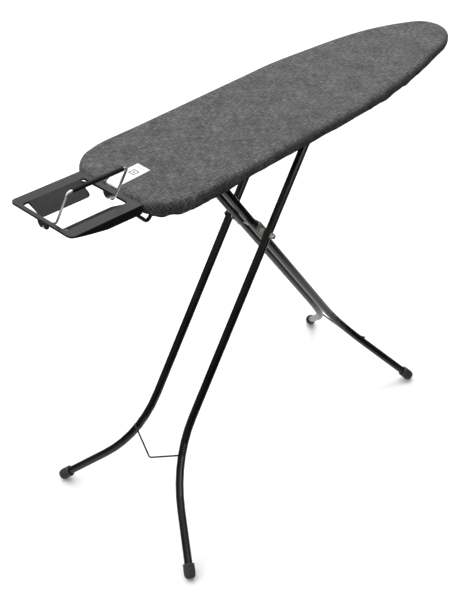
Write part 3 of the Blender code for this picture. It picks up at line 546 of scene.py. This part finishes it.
def metal_material(name, colour, roughness, brushed):
    """Plated steel: spangle patches, and drawn lines along the piece."""
    made, tree, shader = new_material(name, colour, roughness, 1.0)
    place = coordinates(tree, (1, 1, 1))
    spangle = noise_of(tree, place, 90.0, 3.0, 0.6)
    lines = noise_of(tree, coordinates(tree, brushed), 1.0, 2.0)
    dark = tuple(c * 0.84 for c in colour)
    light = tuple(min(1.0, c * 1.08) for c in colour)
    tree.links.new(ramp(tree, spangle, [(0.35, dark), (0.65, light)]), shader.inputs["Base Color"])
    tree.links.new(spread(tree, spangle, roughness * 0.8, roughness * 1.3), shader.inputs["Roughness"])
    bump(tree, shader, lines, 0.08, 0.0003)
    return made


def foam_material():
    made, tree, shader = new_material("grey_felt", (0.42, 0.42, 0.41), 0.95)
    place = coordinates(tree, (1, 1, 1))
    fibre = noise_of(tree, place, 420.0, 4.0, 0.7)
    tree.links.new(ramp(tree, fibre, [(0.3, grey(0.3)), (0.7, grey(0.5))]), shader.inputs["Base Color"])
    tree.links.new(spread(tree, fibre, 0.88, 1.0), shader.inputs["Roughness"])
    bump(tree, shader, fibre, 0.5, 0.001)
    return made


def label_material():
    """Printed film. Grey bars stand in for its small print, and a plain square with a dot for its picture."""
    made, tree, shader = new_material("printed_label", (0.85, 0.85, 0.85), 0.5)
    place = tree.nodes.new("ShaderNodeTexCoord")
    split = tree.nodes.new("ShaderNodeSeparateXYZ")
    tree.links.new(place.outputs["Object"], split.inputs[0])
    x, y = split.outputs["X"], split.outputs["Y"]

    def inside(low_x, high_x, low_y, high_y):
        right_of, left_of = maths(tree, "GREATER_THAN", x, low_x), maths(tree, "LESS_THAN", x, high_x)
        hit = maths(tree, "MULTIPLY", right_of, left_of)
        hit = maths(tree, "MULTIPLY", hit, maths(tree, "GREATER_THAN", y, low_y))
        return maths(tree, "MULTIPLY", hit, maths(tree, "LESS_THAN", y, high_y))

    def within(cx, cy, radius):
        dx, dy = maths(tree, "SUBTRACT", x, cx), maths(tree, "SUBTRACT", y, cy)
        square = maths(tree, "ADD", maths(tree, "MULTIPLY", dx, dx), maths(tree, "MULTIPLY", dy, dy))
        return maths(tree, "LESS_THAN", square, radius * radius)

    low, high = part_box("care_label")
    cx, cy = low.x + 0.057, 0.5 * (low.y + high.y)
    ink = inside(low.x + 0.0155, low.x + 0.0170, low.y + 0.010, low.y + 0.031)
    for k, length in enumerate((0.024, 0.019, 0.022)):
        left, start = low.x + 0.0195 + 0.0040 * k, low.y + 0.008
        ink = maths(tree, "ADD", ink, inside(left, left + 0.0014, start, start + length), True)
    ink = maths(tree, "ADD", ink, inside(high.x - 0.0105, high.x - 0.0080, cy - 0.013, cy + 0.013), True)
    outer = inside(cx - 0.0085, cx + 0.0085, cy - 0.0085, cy + 0.0085)
    frame_mark = maths(tree, "SUBTRACT", outer, inside(cx - 0.0058, cx + 0.0058, cy - 0.0058, cy + 0.0058))
    mark = maths(tree, "ADD", frame_mark, within(cx, cy, 0.0028), True)
    speck = noise_of(tree, coordinates(tree, (1, 1, 1)), 260.0, 3.0)
    paper = ramp(tree, speck, [(0.3, grey(0.62)), (0.7, grey(0.70))])
    mix = tree.nodes.new("ShaderNodeMix")
    mix.data_type = "RGBA"
    tree.links.new(maths(tree, "MULTIPLY", ink, 0.55), mix.inputs["Factor"])
    tree.links.new(paper, mix.inputs[6])
    mix.inputs[7].default_value = (0.12, 0.12, 0.13, 1)
    second = tree.nodes.new("ShaderNodeMix")
    second.data_type = "RGBA"
    tree.links.new(mark, second.inputs["Factor"])
    tree.links.new(mix.outputs[2], second.inputs[6])
    second.inputs[7].default_value = (0.05, 0.05, 0.055, 1)
    tree.links.new(second.outputs[2], shader.inputs["Base Color"])
    tree.links.new(spread(tree, speck, 0.42, 0.58), shader.inputs["Roughness"])
    bump(tree, shader, speck, 0.08, 0.0003)
    return made


def floor_material():
    made, tree, shader = new_material("pale_floor", (0.86, 0.86, 0.86), 0.75)
    drift = noise_of(tree, coordinates(tree, (1, 1, 1)), 0.7, 2.0)
    tree.links.new(ramp(tree, drift, [(0.3, grey(0.88)), (0.7, grey(0.90))]), shader.inputs["Base Color"])
    shader.inputs["Specular IOR Level"].default_value = 0.1
    return made


def dress(material, *names):
    for name in names:
        piece = NODES[name]
        piece.data.materials.clear()
        piece.data.materials.append(material)


def make_looks():
    return {
        "gloss": paint_material("gloss_black_coat", (0.0028, 0.0028, 0.0032), 0.22, 420.0),
        "satin": paint_material("satin_grey_coat", (0.012, 0.012, 0.014), 0.40, 900.0, 0.20),
        "black": paint_material("black_coat", (0.007, 0.007, 0.008), 0.42, 700.0, 0.35),
        "plastic": plastic_material("black_moulding", (0.009, 0.009, 0.010), 0.5, 0.3),
        "cap": plastic_material("charcoal_moulding", (0.022, 0.022, 0.024), 0.55),
        "rubber": plastic_material("black_sleeve", (0.007, 0.007, 0.007), 0.6, 0.16),
        "nylon": plastic_material("natural_nylon", (0.60, 0.59, 0.54), 0.5),
        "zinc": metal_material("zinc_plate", (0.62, 0.61, 0.57), 0.42, (40, 900, 40)),
        "bright": metal_material("bright_wire", (0.86, 0.85, 0.83), 0.30, (60, 700, 700)),
    }


def both_sides(*pieces):
    return [f"{piece}_{side}" for piece in pieces for side in ("near", "far")]


def dress_nodes(looks):
    """Every CAD node gets its finish, except those that a made piece stands for."""
    dress(looks["gloss"], *both_sides("inner_tube", "outer_tube"))
    dress(looks["satin"], "rest_frame")
    dress(looks["black"], "deck_panel", "deck_rim", "inner_brace_wire", "outer_brace_wire", "lever_bracket")
    dress(looks["black"], *both_sides("rest_rod", "tail_bracket", "slide_rail"))
    dress(looks["plastic"], "bail_clip_end", "bail_clip_board", "lever_grip")
    dress(looks["plastic"], *both_sides("rod_clamp", "inner_plug", "outer_plug"))
    dress(looks["rubber"], "bail_sleeve")
    dress(looks["nylon"], *both_sides("pivot_washer", "pivot_spacer", "roller"))
    dress(looks["zinc"], "tail_hinge_pin", "lever_pivot_pin", "height_rack", "lever_rod")
    dress(looks["zinc"], "pivot_bracket", "slide_axle")
    dress(looks["bright"], "bail_wire", "cross_bolt", "cross_nut", "lever_return_spring")


def stand_for(piece, node_name, body_name, material):
    """Puts a made piece in the place of a CAD node."""
    piece.data.materials.append(material)
    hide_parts(node_name)
    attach(piece, body_name)


# ---------------------------------------------------------------- stage
# The soft light's middle as a direction, its strength, and the dim room's; then the lit part of the sweep.
SKY_AIM = (0.20, 0.65, 0.73)
SKY_STRENGTH = 3.1
SKY_DIM = 0.05
TABLE_X = (-1.7, 1.7)
TABLE_Y = (-0.45, 1.5)
TABLE_GLOW = 0.9
FLOOR_HALF = 14
FLOOR_DROP = 0.0004
TABLE_DROP = 0.002
# The camera fitted to the photo: metres, degrees and the lens in millimetres.
CAMERA_AT = (-1.5921, -1.4105, 2.0632)
CAMERA_YAW, CAMERA_PITCH, CAMERA_ROLL = 46.237, 37.598, -0.13
LENS = 63.54


def area_light(name, place, aim, size, power):
    data = bpy.data.lights.new(name, "AREA")
    data.shape = "RECTANGLE"
    data.size, data.size_y = size
    data.energy = power
    lamp = link(bpy.data.objects.new(name, data))
    lamp.location = place
    lamp.rotation_mode = "QUATERNION"
    lamp.rotation_quaternion = (Vector(aim) - Vector(place)).to_track_quat("-Z", "Y")
    return lamp


def make_sky():
    """A large soft light overhead and behind, in a dim room."""
    world = bpy.data.worlds.new("studio")
    world.use_nodes = True
    tree = world.node_tree
    place = tree.nodes.new("ShaderNodeTexCoord")
    split = tree.nodes.new("ShaderNodeSeparateXYZ")
    tree.links.new(place.outputs["Generated"], split.inputs[0])
    towards = tree.nodes.new("ShaderNodeVectorMath")
    towards.operation = "DOT_PRODUCT"
    towards.inputs[1].default_value = SKY_AIM
    tree.links.new(place.outputs["Generated"], towards.inputs[0])
    height = ramp(tree, split.outputs["Z"], [(0.22, grey(0.0)), (0.58, grey(1.0))])
    centre = ramp(tree, towards.outputs["Value"], [(0.30, grey(0.11)), (0.55, grey(0.36)), (0.90, grey(1.0))])
    bright = maths(tree, "MULTIPLY", maths(tree, "MULTIPLY", height, centre), SKY_STRENGTH)
    dim = ramp(tree, split.outputs["Z"], [(0.0, grey(0.02)), (0.15, grey(SKY_DIM))])
    sky = tree.nodes["Background"]
    sky.inputs["Color"].default_value = (1.0, 0.995, 0.985, 1.0)
    tree.links.new(maths(tree, "ADD", bright, dim), sky.inputs["Strength"])
    bpy.context.scene.world = world


def make_table():
    """The lit part of the sweep as glossy steel sees it: a bright patch of limited size under the object."""
    bm = bmesh.new()
    bmesh.ops.create_grid(bm, x_segments=2, y_segments=2, size=1)
    table = mesh_object("lit_sweep", bm)
    table.location = (0.5 * (TABLE_X[0] + TABLE_X[1]), 0.5 * (TABLE_Y[0] + TABLE_Y[1]), -TABLE_DROP)
    table.scale = (0.5 * (TABLE_X[1] - TABLE_X[0]), 0.5 * (TABLE_Y[1] - TABLE_Y[0]), 1.0)
    glow, _, shader = new_material("sweep_glow", (0.0, 0.0, 0.0), 1.0)
    shader.inputs["Emission Color"].default_value = (1.0, 1.0, 1.0, 1.0)
    shader.inputs["Emission Strength"].default_value = TABLE_GLOW
    shader.inputs["Specular IOR Level"].default_value = 0.0
    table.data.materials.append(glow)
    for ray in ("camera", "diffuse", "shadow", "transmission"):
        setattr(table, f"visible_{ray}", False)


def make_stage():
    """A white sweep that catches shadows, and the lights. Diffuse and glossy rays pass the sweep by."""
    bm = bmesh.new()
    bmesh.ops.create_grid(bm, x_segments=24, y_segments=24, size=FLOOR_HALF)
    floor = mesh_object("floor", bm)
    floor.data.materials.append(floor_material())
    floor.location.z = -FLOOR_DROP
    floor.visible_diffuse = False
    floor.visible_glossy = False
    make_table()
    make_sky()
    area_light("nose_light", (1.3, 0.9, 2.6), (0.35, 0.0, 0.95), (0.9, 0.9), 16)
    area_light("strip", (-3.0, 0.15, 1.7), (-0.2, 0.0, 0.55), (0.28, 1.6), 10)
    area_light("front_fill", (-1.2, -3.4, 2.2), (0.0, 0.0, 0.9), (2.0, 2.0), 26)
    bpy.context.scene.view_settings.view_transform = "Standard"


def make_camera():
    """The lens and place give the 463 x 600 view; the sensor's 36 mm is its long side."""
    data = bpy.data.cameras.new("camera")
    data.lens = LENS
    data.sensor_width = 36.0
    data.clip_start = 0.05
    data.clip_end = 60.0
    camera = link(bpy.data.objects.new("camera", data))
    camera.location = CAMERA_AT
    yaw, pitch, roll = (math.radians(angle) for angle in (CAMERA_YAW, CAMERA_PITCH, CAMERA_ROLL))
    look = Vector((math.sin(yaw) * math.cos(pitch), math.cos(yaw) * math.cos(pitch), -math.sin(pitch)))
    camera.rotation_mode = "QUATERNION"
    camera.rotation_quaternion = look.to_track_quat("-Z", "Y")
    camera.rotation_quaternion = camera.rotation_quaternion @ Matrix.Rotation(roll, 3, "Z").to_quaternion()
    bpy.context.scene.camera = camera


def main():
    make_camera()
    looks = make_looks()
    dress_nodes(looks)
    cover = make_cover()
    stand_for(cover, "fabric_cover", "board", cloth_material())
    pad = make_felt_pad()
    stand_for(pad, "foam_pad", "board", foam_material())
    stand_for(make_label(), "care_label", "board", label_material())
    for pair in LEG_ENDS:
        for side, sign in (("near", -1), ("far", 1)):
            cap = make_foot_cap(pair, side, sign)
            stand_for(cap, f"{pair}_foot_{side}", f"{pair}_legs", looks["cap"])
    make_stage()


main()
